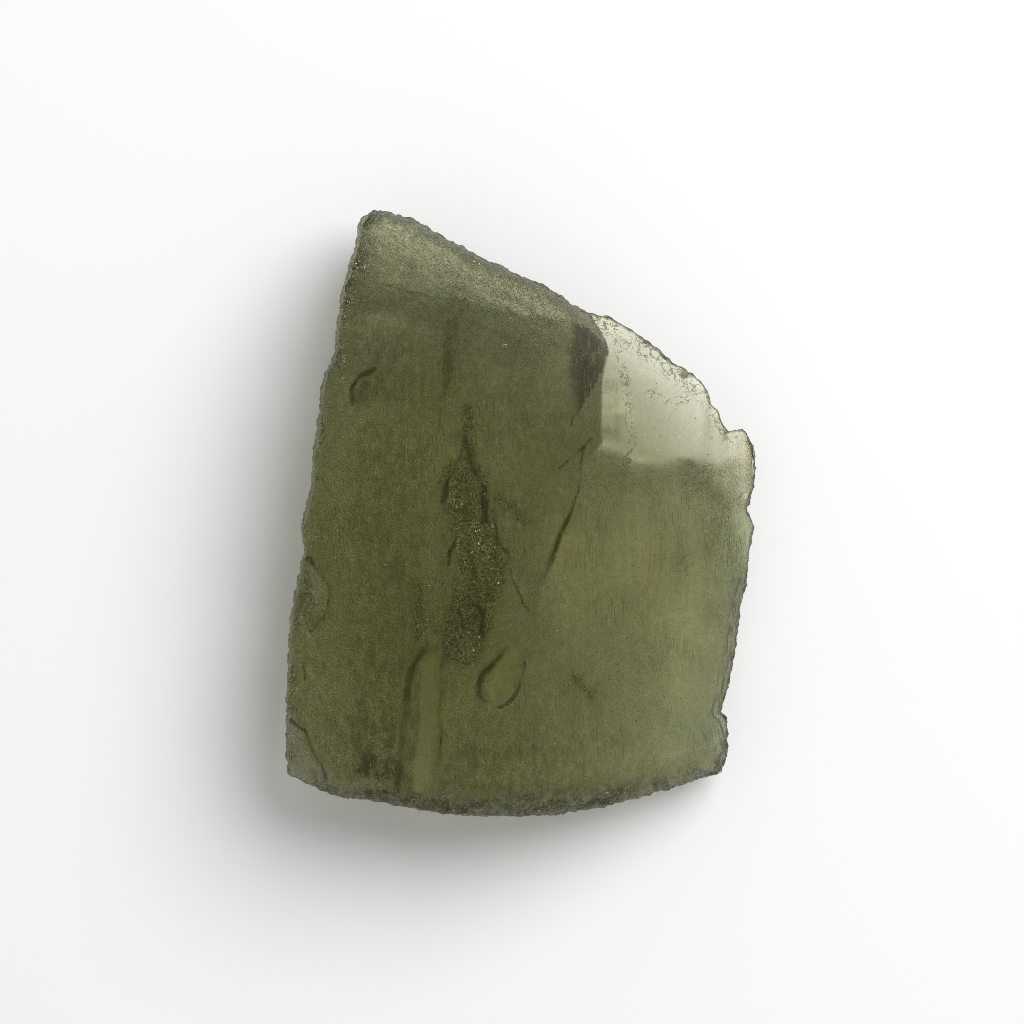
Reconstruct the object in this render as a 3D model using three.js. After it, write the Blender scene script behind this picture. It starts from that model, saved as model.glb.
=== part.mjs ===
// A moldavite: one broken slab of natural bottle-green glass, lying on its back.
// Units are millimetres. X runs across the piece, Y along its flow lines towards the tip, and Z up.
// The origin is under the middle of the piece, at the height of the surface it rests on.
import * as THREE from "three";
import { mergeVertices } from "three/addons/utils/BufferGeometryUtils.js";
import { ImprovedNoise } from "three/addons/math/ImprovedNoise.js";

// Driving dimensions of the whole piece
const WIDTH = 19.6;
const LENGTH = 25.2;
const THICKNESS = 6.9;

// How finely the slab is divided: across, along and up its broken edges
const CELLS_ACROSS = 37;
const CELLS_ALONG = 45;
const CELLS_UP = 7;

// The outline seen from above, as its four broken sides. They share the four corners.
const LOWER_LEFT = [-9.85, -10.95];
const LOWER_RIGHT = [8.45, -10.9];
const SHOULDER = [9.75, 2.7];
const TIP = [-5.9, 12.6];
const LEFT_SIDE = [
  LOWER_LEFT, [-9.8, -8.6], [-9.72, -5.5], [-9.5, -3.6], [-9.1, -1.7], [-9.15, -0.6], [-8.85, 0.8],
  [-8.65, 2.6], [-8.35, 5.0], [-8.15, 5.8], [-7.8, 6.7], [-7.7, 7.9], [-7.35, 9.7], [-6.9, 11.2],
  [-6.8, 11.9], [-6.45, 12.4], TIP,
];
const RIGHT_SIDE = [
  LOWER_RIGHT, [8.6, -10.0], [8.62, -8.85], [8.33, -8.4], [8.5, -7.9], [8.85, -6.4], [9.05, -5.0],
  [9.4, -3.0], [9.6, -1.3], [9.7, -0.6], [9.42, 0.2], [9.68, 0.8], [9.79, 1.9], SHOULDER,
];
const LOWER_SIDE = [
  LOWER_LEFT, [-8.7, -11.4], [-7.7, -11.8], [-5.9, -12.05], [-3.9, -12.45], [-1.9, -12.62],
  [0.6, -12.63], [2.6, -12.42], [4.6, -12.0], [6.6, -11.45], LOWER_RIGHT,
];
const UPPER_SIDE = [
  TIP, [-5.3, 12.4], [-4.2, 12.08], [-3.3, 11.5], [-2.1, 10.85], [-0.5, 10.1], [1.1, 9.3],
  [2.5, 8.45], [3.8, 8.1], [5.1, 7.25], [6.5, 6.2], [7.65, 5.3], [8.1, 4.3], [8.7, 3.45],
  [9.35, 3.4], SHOULDER,
];

// The front face: its highest point, how it falls away from there, and how it rolls over at the edges
const CREST = [-3.2, -1.5];
const FRONT_FALL = { left: 0.02, right: 0.016, along: 0.0028 };
const LEFT_ROLL = { width: 1.0, drop: 0.5 };
const LOWER_ROLL = { width: 1.4, drop: 1.5 };
const RIGHT_BEVEL = { width: 1.4, drop: 1.2, from: -12.0, to: -8.0 };

// The slab tapers towards its right side, and a little more so above its lower end
const TAPER = { from: -1.5, to: 7.0, drop: 1.3, extraDrop: 0.6, extraFrom: -12.0, extraTo: -6.0 };

// The back: a low swelling that is worn flat where the piece rests, and rises to the upper edge
const BACK_CENTRE = [-1.6, -1.6];
const BACK_SWELL = { left: 0.0115, right: 0.0075, along: 0.0092 };
const REST_SPOT_DEPTH = 0.27;
const UPPER_EDGE_LIFT = 2.05;
const UPPER_EDGE_SLOPE = 0.42;
const BACK_SCOOPS = [
  { at: [-5.6, 7.4], radii: [2.6, 2.0], turn: 0.5, depth: 0.75 },
  { at: [5.4, -6.6], radii: [2.3, 3.4], turn: -0.3, depth: 0.5 },
  { at: [-6.9, -8.0], radii: [2.0, 2.4], turn: 0.7, depth: 0.6 },
];

// Insets of the front and back rims from the outline, as shares of the piece, and the height of the
// widest place as a share of the edge. The left edge leans outwards to its foot.
const RIM_INSETS = {
  left: { front: 0.022, back: 0.03, widest: 0.3 },
  right: { front: 0.008, back: 0.014, widest: 0.45 },
  lower: { front: 0.014, back: 0.045, widest: 0.62 },
  upper: { front: 0.004, back: 0.006, widest: 0.4 },
};

// The bevel scar along the upper edge, up to the tip. It is a lower floor inside a boundary, and its wall
// climbs gently from there to the front face. Floor thickness is given at the edge, near it and further in.
const BEVEL_SCAR = {
  boundary: [
    [-9.5, 9.2], [-7.4, 9.35], [-6.3, 9.5], [-5.4, 9.3], [-4.1, 9.0], [-2.6, 8.85], [-0.9, 8.35],
    [0.8, 8.1], [2.0, 8.0], [3.3, 7.6], [8.0, 10.0], [-5.0, 16.0],
  ],
  wallSlope: 0.62,
  edge: 0.6,
  rise: 2.9,
  riseWithin: 0.5,
  climb: 0.22,
};

// The thin scalloped shelf at the shoulder. A tall wall stands over it with a sharp step at its foot, and
// on the lower side the shelf climbs back to the front face.
const SHOULDER_SCAR = {
  wallFoot: [
    [1.9, 9.6], [2.9, 8.15], [3.5, 7.3], [3.62, 6.67], [3.38, 5.6], [2.85, 4.9], [2.22, 4.0],
    [3.0, 3.2], [2.9, 2.2], [2.6, -4.0], [14.0, -4.0], [14.0, 12.0],
  ],
  lowerLine: [
    [2.6, 3.6], [3.6, 2.9], [4.7, 2.3], [5.6, 2.2], [6.4, 2.35], [7.5, 2.4], [9.75, 2.5],
    [14.0, 2.5], [14.0, 14.0], [0.0, 14.0], [0.0, 3.6],
  ],
  wallStep: 0.9,
  wallStepWithin: 0.14,
  wallSlope: 1.1,
  lowerSlope: 1.0,
  lowerSink: 0.2,
  lowerRounding: 0.9,
  edge: 0.3,
  rise: 0.3,
  riseWithin: 0.8,
  climb: 0.38,
};
const WALL_CREST = [[1.4, 8.5], [1.8, 7.6], [2.0, 6.6], [2.0, 5.6], [1.9, 4.4]];

// Furrows etched into the front face, from the photograph's left to its right
const FURROWS = [
  { path: [[-3.95, -6.4], [-4.1, -8.6], [-4.2, -12.0]], halfWidth: 1.0, depth: 0.6 },
  { path: [[-2.4, 8.7], [-3.05, 7.3], [-3.25, 4.4], [-3.4, 2.5]], halfWidth: 1.1, depth: 0.45 },
  { path: [[-2.2, 3.0], [-1.7, 2.1], [-1.5, 1.2], [-1.0, -0.3], [-0.4, -2.4]], halfWidth: 1.2, depth: 0.55 },
  { path: [[-2.4, 2.6], [-3.0, 0.4], [-3.4, -1.8], [-3.6, -3.8]], halfWidth: 1.2, depth: 0.4 },
  { path: [[2.84, 3.1], [2.4, 1.7], [2.3, 0.2], [1.4, -1.5], [0.8, -2.9]], halfWidth: 1.1, depth: 0.4 },
];

// Pits on the front face
const PITS = [
  { at: [-0.87, -6.83], radii: [0.9, 1.5], turn: -0.5, depth: 0.6 },
  { at: [-6.4, 5.05], radii: [0.7, 1.1], turn: -0.7, depth: 0.45 },
  { at: [-6.6, -1.6], radii: [0.8, 0.9], turn: 0, depth: 0.15 },
  { at: [-2.0, -4.4], radii: [0.55, 0.8], turn: 0.2, depth: 0.35 },
  { at: [-6.0, -10.3], radii: [1.3, 0.8], turn: 0.2, depth: 0.45 },
  { at: [2.0, -7.6], radii: [1.2, 0.8], turn: 0, depth: 0.2 },
  { at: [-9.0, -3.2], radii: [0.9, 1.4], turn: 0, depth: 1.1 },
];

// A chip off the lower left corner: the front face falls away past this line
const CORNER_CHIP = { at: [-8.6, -9.9], across: -0.85, along: -0.53, slope: 1.15 };

// Low relief of the whole skin: long ribs along Y, and a lumpy break
const RIBS = { size: 1.1, stretch: 9, height: 0.07 };
const LUMPS = { size: 2.8, height: 0.1 };
const GRAIN = { size: 0.8, height: 0.07 };

const perlin = new ImprovedNoise();
const noise = (x, y, z) => perlin.noise(x + 31.7, y + 11.3, z + 47.1);
const lerp = THREE.MathUtils.lerp;
const smoothstep = THREE.MathUtils.smoothstep;

// The lower of two surfaces, with their crease rounded off over a height
function lowerOf(a, b, rounding) {
  const near = Math.max(rounding - Math.abs(a - b), 0) / rounding;
  return Math.min(a, b) - (near * near * rounding) / 4;
}

const higherOf = (a, b, rounding) => -lowerOf(-a, -b, rounding);

function nearestOnPath(x, y, path) {
  const point = new THREE.Vector3(x, y, 0);
  const nearest = new THREE.Vector3(Infinity, Infinity, 0);
  const near = new THREE.Vector3();
  for (let i = 0; i + 1 < path.length; i += 1) {
    const piece = new THREE.Line3(
      new THREE.Vector3(...path[i], 0),
      new THREE.Vector3(...path[i + 1], 0),
    );
    piece.closestPointToPoint(point, true, near);
    if (near.distanceTo(point) < nearest.distanceTo(point)) {
      nearest.copy(near);
    }
  }
  return nearest;
}

function distanceToPath(x, y, path) {
  const nearest = nearestOnPath(x, y, path);
  return Math.hypot(nearest.x - x, nearest.y - y);
}

function isInside(x, y, boundary) {
  let inside = false;
  boundary.forEach(([x1, y1], i) => {
    const [x0, y0] = boundary.at(i - 1);
    if (y0 > y !== y1 > y && x < x0 + ((y - y0) / (y1 - y0)) * (x1 - x0)) {
      inside = !inside;
    }
  });
  return inside;
}

// A bowl's depth at a point: full in the middle, and nothing past its rim
function bowl(x, y, { at, radii, turn, depth }) {
  const dx = x - at[0];
  const dy = y - at[1];
  const across = (dx * Math.cos(turn) + dy * Math.sin(turn)) / radii[0];
  const along = (dy * Math.cos(turn) - dx * Math.sin(turn)) / radii[1];
  const out = Math.min(Math.hypot(across, along), 1);
  return depth * (1 - out * out) ** 1.5;
}

function furrow(x, y, { path, halfWidth, depth }) {
  const out = Math.min(distanceToPath(x, y, path) / halfWidth, 1);
  return depth * (1 - out * out) ** 2;
}

const sideCurve = (points) => new THREE.SplineCurve(points.map(([x, y]) => new THREE.Vector2(x, y)));
const sides = {
  left: sideCurve(LEFT_SIDE),
  right: sideCurve(RIGHT_SIDE),
  lower: sideCurve(LOWER_SIDE),
  upper: sideCurve(UPPER_SIDE),
};

// A place in the slab from its shares across and along, so that the cells follow all four sides
function placeAt(across, along) {
  const left = sides.left.getPointAt(along);
  const right = sides.right.getPointAt(along);
  const lower = sides.lower.getPointAt(across);
  const upper = sides.upper.getPointAt(across);
  const between = (axis) => {
    const corners = lerp(
      lerp(LOWER_LEFT[axis], LOWER_RIGHT[axis], across),
      lerp(TIP[axis], SHOULDER[axis], across),
      along,
    );
    const key = axis === 0 ? "x" : "y";
    return lerp(left[key], right[key], across) + lerp(lower[key], upper[key], along) - corners;
  };
  return [between(0), between(1)];
}

// How far a place lies inside each side of the slab
const UPPER_SIDE_LEAN = 0.84;
function insideOf(across, along) {
  const columnLength = lerp(sides.left.getLength(), sides.right.getLength(), across);
  return {
    left: across * WIDTH,
    right: (1 - across) * WIDTH,
    lower: along * columnLength,
    upper: (1 - along) * columnLength * UPPER_SIDE_LEAN,
  };
}

function backHeight(x, y, inside) {
  const dx = x - BACK_CENTRE[0];
  const dy = y - BACK_CENTRE[1];
  const swell = (dx < 0 ? BACK_SWELL.left : BACK_SWELL.right) * dx * dx + BACK_SWELL.along * dy * dy;
  let height = swell - REST_SPOT_DEPTH;
  for (const scoop of BACK_SCOOPS) {
    height += bowl(x, y, scoop);
  }
  height = higherOf(height, UPPER_EDGE_LIFT - UPPER_EDGE_SLOPE * inside.upper, 0.6);
  height += LUMPS.height * noise(x / LUMPS.size, y / LUMPS.size, 5);
  return Math.max(height, 0);
}

// The height of a scar's floor over the back
function scarFloor(inside, back, scar) {
  const rise = scar.rise * (1 - Math.exp(-inside.upper / scar.riseWithin));
  return back + scar.edge + rise + scar.climb * inside.upper;
}

const outsideBy = (x, y, boundary) => (isInside(x, y, boundary) ? 0 : distanceToPath(x, y, boundary));

function bevelHeight(x, y, inside, back) {
  return scarFloor(inside, back, BEVEL_SCAR) + BEVEL_SCAR.wallSlope * outsideBy(x, y, BEVEL_SCAR.boundary);
}

function shelfHeight(x, y, inside, back) {
  const scar = SHOULDER_SCAR;
  const up = outsideBy(x, y, scar.wallFoot);
  const wall = scar.wallStep * (1 - Math.exp(-up / scar.wallStepWithin)) + scar.wallSlope * up;
  const climb = scar.lowerSlope * outsideBy(x, y, scar.lowerLine) - scar.lowerSink;
  return scarFloor(inside, back, scar) + Math.max(wall, higherOf(climb, 0, scar.lowerRounding));
}

function frontHeight(x, y, inside, back) {
  const dx = x - CREST[0];
  const dy = y - CREST[1];
  const fallAcross = dx < 0 ? FRONT_FALL.left : FRONT_FALL.right;
  let height = THICKNESS - fallAcross * dx * dx - FRONT_FALL.along * dy * dy;
  height -= LEFT_ROLL.drop * Math.max(1 - inside.left / LEFT_ROLL.width, 0) ** 2;
  height -= LOWER_ROLL.drop * Math.max(1 - inside.lower / LOWER_ROLL.width, 0) ** 2;
  const bevel = smoothstep(y, RIGHT_BEVEL.from, RIGHT_BEVEL.to);
  height -= bevel * RIGHT_BEVEL.drop * Math.max(1 - inside.right / RIGHT_BEVEL.width, 0) ** 1.3;
  const taper = TAPER.drop + TAPER.extraDrop * smoothstep(y, TAPER.extraFrom, TAPER.extraTo);
  height -= taper * smoothstep(x, TAPER.from, TAPER.to);
  for (const pit of PITS) {
    height -= bowl(x, y, pit);
  }
  for (const each of FURROWS) {
    height -= furrow(x, y, each);
  }
  height += RIBS.height * noise(x / RIBS.size, y / (RIBS.size * RIBS.stretch), 2);
  const past = (x - CORNER_CHIP.at[0]) * CORNER_CHIP.across + (y - CORNER_CHIP.at[1]) * CORNER_CHIP.along;
  height -= CORNER_CHIP.slope * Math.max(past, 0);
  height = lowerOf(height, bevelHeight(x, y, inside, back), 0.5);
  return lowerOf(height, shelfHeight(x, y, inside, back), 0.2);
}

// Corners of the front face that lie close to a crease are drawn onto it, so that it stays crisp
const CREASES = [BEVEL_SCAR.boundary, SHOULDER_SCAR.wallFoot, WALL_CREST];
const CREASE_REACH = 0.24;
const CREASE_MARGIN = 0.8;
function drawnToCrease(x, y, inside) {
  if (Math.min(inside.left, inside.right, inside.lower, inside.upper) < CREASE_MARGIN) {
    return [x, y];
  }
  const spots = CREASES.map((path) => nearestOnPath(x, y, path));
  const spot = spots.find((near) => Math.hypot(near.x - x, near.y - y) < CREASE_REACH);
  return spot ? [spot.x, spot.y] : [x, y];
}

// The inset of one side at a height up the edge
function insetAt(rim, up) {
  const away = up < rim.widest ? 1 - up / rim.widest : (up - rim.widest) / (1 - rim.widest);
  return (up < rim.widest ? rim.back : rim.front) * away ** 1.6;
}

// Moves a corner of the unit box, given by its three shares, to its place on the stone
function stonePoint(across, along, up) {
  const insetAcross = lerp(insetAt(RIM_INSETS.left, up), 1 - insetAt(RIM_INSETS.right, up), across);
  const insetAlong = lerp(insetAt(RIM_INSETS.lower, up), 1 - insetAt(RIM_INSETS.upper, up), along);
  const inside = insideOf(insetAcross, insetAlong);
  let [x, y] = placeAt(insetAcross, insetAlong);
  if (up === 1) {
    [x, y] = drawnToCrease(x, y, inside);
  }
  const back = backHeight(x, y, inside);
  return new THREE.Vector3(x, y, lerp(back, frontHeight(x, y, inside, back), up));
}

function stoneGeometry() {
  const box = new THREE.BoxGeometry(1, 1, 1, CELLS_ACROSS, CELLS_ALONG, CELLS_UP);
  box.deleteAttribute("uv");
  box.deleteAttribute("normal");
  const geometry = mergeVertices(box, 1e-4);
  const position = geometry.getAttribute("position");
  for (let i = 0; i < position.count; i += 1) {
    const point = stonePoint(position.getX(i) + 0.5, position.getY(i) + 0.5, position.getZ(i) + 0.5);
    position.setXYZ(i, point.x, point.y, point.z);
  }
  geometry.computeVertexNormals();
  roughen(geometry);
  fitToSize(geometry);
  return geometry;
}

// Moves the skin in and out along its normals. The worn flat under the piece stays flat.
function roughen(geometry) {
  const position = geometry.getAttribute("position");
  const normal = geometry.getAttribute("normal");
  const point = new THREE.Vector3();
  const out = new THREE.Vector3();
  for (let i = 0; i < position.count; i += 1) {
    point.fromBufferAttribute(position, i);
    out.fromBufferAttribute(normal, i);
    if (point.z > 0) {
      const grain = noise(point.x / GRAIN.size, point.y / GRAIN.size, point.z / GRAIN.size);
      point.addScaledVector(out, GRAIN.height * grain);
      position.setXYZ(i, point.x, point.y, Math.max(point.z, 0));
    }
  }
  geometry.deleteAttribute("normal");
}

// Brings the finished skin to the driving dimensions, centred over the origin
function fitToSize(geometry) {
  geometry.computeBoundingBox();
  const middle = geometry.boundingBox.getCenter(new THREE.Vector3());
  const size = geometry.boundingBox.getSize(new THREE.Vector3());
  geometry.translate(-middle.x, -middle.y, 0);
  geometry.scale(WIDTH / size.x, LENGTH / size.y, THICKNESS / size.z);
}

const moldaviteGlass = new THREE.MeshStandardMaterial({
  color: new THREE.Color(0.36, 0.38, 0.2),
  roughness: 0.35,
  metalness: 0,
});

const stone = new THREE.Mesh(stoneGeometry(), moldaviteGlass);
stone.name = "moldavite";

const moldavite = new THREE.Group();
moldavite.add(stone);

export default moldavite;
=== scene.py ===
import math

import bmesh
import bpy
import numpy as np
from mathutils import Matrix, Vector, noise


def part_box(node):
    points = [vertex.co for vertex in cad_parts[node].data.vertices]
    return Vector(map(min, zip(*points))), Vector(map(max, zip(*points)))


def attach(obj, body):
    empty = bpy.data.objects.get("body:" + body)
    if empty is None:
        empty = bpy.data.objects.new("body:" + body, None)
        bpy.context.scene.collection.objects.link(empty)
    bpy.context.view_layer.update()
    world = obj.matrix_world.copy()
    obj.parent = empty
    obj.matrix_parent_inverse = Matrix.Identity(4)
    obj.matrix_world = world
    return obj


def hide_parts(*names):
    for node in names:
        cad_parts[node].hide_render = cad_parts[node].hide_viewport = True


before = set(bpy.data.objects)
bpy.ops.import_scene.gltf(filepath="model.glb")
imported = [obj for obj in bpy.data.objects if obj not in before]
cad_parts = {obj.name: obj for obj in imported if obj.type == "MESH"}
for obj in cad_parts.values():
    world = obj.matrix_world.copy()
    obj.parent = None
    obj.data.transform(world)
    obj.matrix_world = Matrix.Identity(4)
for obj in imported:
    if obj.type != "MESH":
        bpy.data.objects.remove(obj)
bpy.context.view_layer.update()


# The form of the stone
# A piece of natural glass that flew, cooled and broke long before it was found: a slab with four broken
# sides. It is one solid, shaped here by its outline, its landforms, and the scars where flakes came off.

MM = 0.001

# The corners and the sides of the outline, in millimetres from its middle
lower_left, lower_right = (-9.85, -10.95), (8.45, -10.9)
shoulder, tip = (9.75, 2.7), (-5.9, 12.6)

left_side = [
    lower_left, (-9.8, -8.6), (-9.72, -5.5), (-9.5, -3.6), (-9.1, -1.7), (-9.15, -0.6), (-8.85, 0.8),
    (-8.65, 2.6), (-8.35, 5.0), (-8.15, 5.8), (-7.8, 6.7), (-7.7, 7.9), (-7.35, 9.7), (-6.9, 11.2),
    (-6.8, 11.9), (-6.45, 12.4), tip,
]
right_side = [
    lower_right, (8.6, -10.0), (8.62, -8.85), (8.33, -8.4), (8.5, -7.9), (8.85, -6.4), (9.05, -5.0),
    (9.4, -3.0), (9.6, -1.3), (9.7, -0.6), (9.42, 0.2), (9.68, 0.8), (9.79, 1.9), shoulder,
]
lower_side = [
    lower_left, (-8.7, -11.4), (-7.7, -11.8), (-5.9, -12.05), (-3.9, -12.45), (-1.9, -12.62),
    (0.6, -12.63), (2.6, -12.42), (4.6, -12.0), (6.6, -11.45), lower_right,
]
upper_side = [
    tip, (-5.3, 12.4), (-4.2, 12.08), (-3.3, 11.5), (-2.1, 10.85), (-0.5, 10.1), (1.1, 9.3),
    (2.5, 8.45), (3.8, 8.1), (5.1, 7.25), (6.5, 6.2), (7.65, 5.3), (8.1, 4.3), (8.7, 3.45),
    (9.35, 3.4), shoulder,
]


def even_steps(points, steps=1500):
    """Points at even steps along the smooth curve through the given ones."""
    p = np.array([points[0], *points, points[-1]], float)
    t = np.linspace(0, 1, 60, endpoint=False)[:, None]
    runs = []
    for p0, p1, p2, p3 in zip(p, p[1:], p[2:], p[3:]):
        v0, v1 = (p2 - p0) / 2, (p3 - p1) / 2
        runs.append(
            (2 * p1 - 2 * p2 + v0 + v1) * t**3 + (3 * p2 - 3 * p1 - 2 * v0 - v1) * t**2 + v0 * t + p1
        )
    curve = np.vstack([*runs, p[-1:]])
    length = np.concatenate([[0], np.cumsum(np.hypot(*np.diff(curve, axis=0).T))])
    even = np.linspace(0, length[-1], steps)
    return np.column_stack([np.interp(even, length, curve[:, k]) for k in (0, 1)]), length[-1]


sides = {
    name: even_steps(points)
    for name, points in {
        "left": left_side, "right": right_side, "lower": lower_side, "upper": upper_side,
    }.items()
}


def on_side(name, share):
    """The place at a share of the way along one side."""
    curve = sides[name][0]
    steps = np.linspace(0, 1, len(curve))
    return np.column_stack([np.interp(share, steps, curve[:, k]) for k in (0, 1)])


def place(across, along):
    """Where shares across and along the slab lie, so that the mesh follows all four sides."""
    a, b = across[:, None], along[:, None]
    corners = (1 - b) * ((1 - a) * lower_left + a * np.array(lower_right)) + b * (
        (1 - a) * tip + a * np.array(shoulder)
    )
    over = (1 - a) * on_side("left", along) + a * on_side("right", along)
    up = (1 - b) * on_side("lower", across) + b * on_side("upper", across)
    return (over + up - corners).T


SLAB_WIDTH = 19.6
UPPER_SLANT = 0.84  # the upper side runs aslant, so a step along the slab leads less far from it


def inside_of(across, along):
    """How far a place lies inside each side."""
    column = (1 - across) * sides["left"][1] + across * sides["right"][1]
    return {
        "left": across * SLAB_WIDTH,
        "right": (1 - across) * SLAB_WIDTH,
        "lower": along * column,
        "upper": (1 - along) * column * UPPER_SLANT,
    }


def distance_to(path, x, y):
    """The distance from each place to a path of straight runs."""
    nearest = np.full(x.shape, np.inf)
    for (x0, y0), (x1, y1) in zip(path, path[1:]):
        run = (x1 - x0) ** 2 + (y1 - y0) ** 2
        share = np.clip(((x - x0) * (x1 - x0) + (y - y0) * (y1 - y0)) / run, 0, 1)
        nearest = np.minimum(nearest, np.hypot(x - x0 - share * (x1 - x0), y - y0 - share * (y1 - y0)))
    return nearest


def is_inside(boundary, x, y):
    """Whether each place lies within a closed boundary."""
    inside = np.zeros(x.shape, bool)
    for (x0, y0), (x1, y1) in zip(boundary[-1:] + boundary[:-1], boundary):
        if y0 != y1:
            inside ^= ((y0 > y) != (y1 > y)) & (x < x0 + (y - y0) / (y1 - y0) * (x1 - x0))
    return inside


def smooth(value, low, high):
    """An even rise from 0 at one value to 1 at the other."""
    share = np.clip((value - low) / (high - low), 0, 1)
    return share * share * (3 - 2 * share)


def lower_of(a, b, rounding):
    """The lower of two surfaces, with their crease rounded off."""
    near = np.maximum(rounding - np.abs(a - b), 0) / rounding
    return np.minimum(a, b) - near * near * rounding / 4


def higher_of(a, b, rounding):
    """The higher of two surfaces, with their crease rounded off."""
    return -lower_of(-a, -b, rounding)


def lumps(x, y, size, seed, octaves=3):
    """Lumpy relief from about -1 to 1, with lumps of the given size along X and Y."""
    return np.array([
        noise.fractal(Vector((px / size[0], py / size[1], seed)), 1.0, 2.0, octaves)
        for px, py in zip(x, y)
    ])


def bowl(x, y, at, radii, turn, wall=1.0, steep=None):
    """A hollow from 0 at its rim to 1 inside, with a wall as a share of its radius.

    The side at the bearing steep, where one is given, keeps that wall, and the others are gentler.
    """
    dx, dy = x - at[0], y - at[1]
    across = (dx * math.cos(turn) + dy * math.sin(turn)) / radii[0]
    along = (dy * math.cos(turn) - dx * math.sin(turn)) / radii[1]
    if steep is not None:
        away = 0.5 - 0.5 * np.cos(np.arctan2(dy, dx) - steep)
        wall = wall + (1 - wall) * away
    return smooth((1 - np.hypot(across, along)) / wall, 0, 1)


def furrow(x, y, path, half_width, wall):
    """A groove from 0 at its rims to 1 along its path, with walls of the given width."""
    return smooth(half_width - distance_to(path, x, y), 0, wall)


# Scoops where flakes came off the back: place, radii, turn, depth
back_scoops = [
    ((-5.6, 7.4), (2.6, 2.0), 0.5, 0.75),
    ((5.4, -6.6), (2.3, 3.4), -0.3, 0.5),
    ((-6.9, -8.0), (2.0, 2.4), 0.7, 0.6),
]


def back_height(x, y, inside):
    """The back: a low swelling, worn flat where the stone rests, with scoops and a chipped upper rim."""
    across = np.where(x > -1.6, 0.65, 1) * (x + 1.6) ** 2
    height = 0.0115 * (across + 0.8 * (y + 1.6) ** 2) - 0.27
    for at, radii, turn, depth in back_scoops:
        height = height + depth * bowl(x, y, at, radii, turn)
    height = higher_of(height, 2.05 - 0.42 * inside["upper"], 0.6)
    height = height + 0.1 * lumps(x, y, (2.8, 2.8), 5.1, 2)
    return np.maximum(height, 0)


# The bevel scar along the upper edge to the tip: a short steep lip, then a gentle rise to the front face
bevel_line = [
    (-9.5, 9.2), (-7.4, 9.35), (-6.3, 9.5), (-5.4, 9.3), (-4.1, 9.0), (-2.6, 8.85), (-0.9, 8.35),
    (0.8, 8.1), (2.0, 8.0), (3.3, 7.6), (8.0, 10.0), (-5.0, 16.0),
]

# The shelf at the shoulder. The block stands over it in a wall that steepens to a crisp foot, and on
# the lower side the shelf climbs gently back to the front face.
shelf_foot = [
    (1.9, 9.6), (2.9, 8.15), (3.3, 7.5), (3.54, 7.05), (3.62, 6.7), (3.45, 6.05), (3.38, 5.6),
    (3.33, 4.95), (3.33, 2.9), (3.0, 2.2), (2.6, -4.0), (14.0, -4.0), (14.0, 12.0),
]
shelf_lower_line = [
    (2.6, 3.6), (3.6, 2.9), (4.7, 2.3), (5.6, 2.2), (6.4, 2.35), (7.5, 2.4), (9.75, 2.5),
    (14.0, 2.5), (14.0, 14.0), (0.0, 14.0), (0.0, 3.6),
]
# The flake scar beside the block, painted dark in streaks as painted shade, fading out on its left side
flake_scar = [
    (2.1, 7.9), (2.54, 7.75), (3.25, 7.3), (3.52, 7.02), (3.61, 6.67), (3.48, 5.96), (3.25, 5.54),
    (2.82, 4.83), (2.46, 4.2), (2.2, 3.87), (2.12, 3.4), (2.05, 4.2), (1.85, 5.8), (1.8, 6.8),
]
flake_side = [(1.9, 7.9), (1.75, 6.8), (1.8, 5.8), (1.98, 4.2)]
block_facet = [(2.2, 3.9), (3.3, 5.5), (3.45, 5.3), (3.36, 2.9), (2.7, 3.0)]


def outside_by(boundary, x, y):
    """How far each place lies outside a closed boundary."""
    return np.where(is_inside(boundary, x, y), 0, distance_to(boundary, x, y))


def bevel_height(x, y, inside, back):
    """The bevel scar, which climbs out of the way on the far side of its line."""
    from_edge = inside["upper"]
    lip = 1.3 + 1.0 * (1 - np.exp(-from_edge / 0.18))
    floor = back + lip + 0.6 * from_edge
    return floor + 0.62 * outside_by(bevel_line, x, y)


def shelf_height(x, y, inside, back):
    """The shelf with the wall over it, how far each place is past its foot, and where the floor lies."""
    from_edge = inside["upper"]
    floor = back + 0.22 + 0.25 * (1 - np.exp(-from_edge / 0.8)) + 0.35 * from_edge
    floor = floor + 0.5 * smooth(x, 5.2, 3.2) * smooth(y, 6.5, 3.5)
    floor = floor + 0.006 * np.sin(9.0 * (y + 0.25 * x) + 2 * lumps(x, y, (2.0, 2.0), 4.4))
    wall = outside_by(shelf_foot, x, y)
    climb = outside_by(shelf_lower_line, x, y)
    step = 0.6 + 0.7 * smooth(y, 5.6, 8.2)
    steep = step * (1 - np.exp(-wall / 0.14)) + 1.1 * wall
    steep = steep + 2.4 * smooth(y, 3.6, 5.2) * np.maximum(wall - 0.8, 0)
    climbing = higher_of(climb - 0.2, 0 * climb, 0.9)
    on_floor = smooth(wall, 0.15, 0.0) * smooth(climb, 1.0, 0.1)
    return floor + np.maximum(steep, climbing), wall, on_floor
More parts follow.
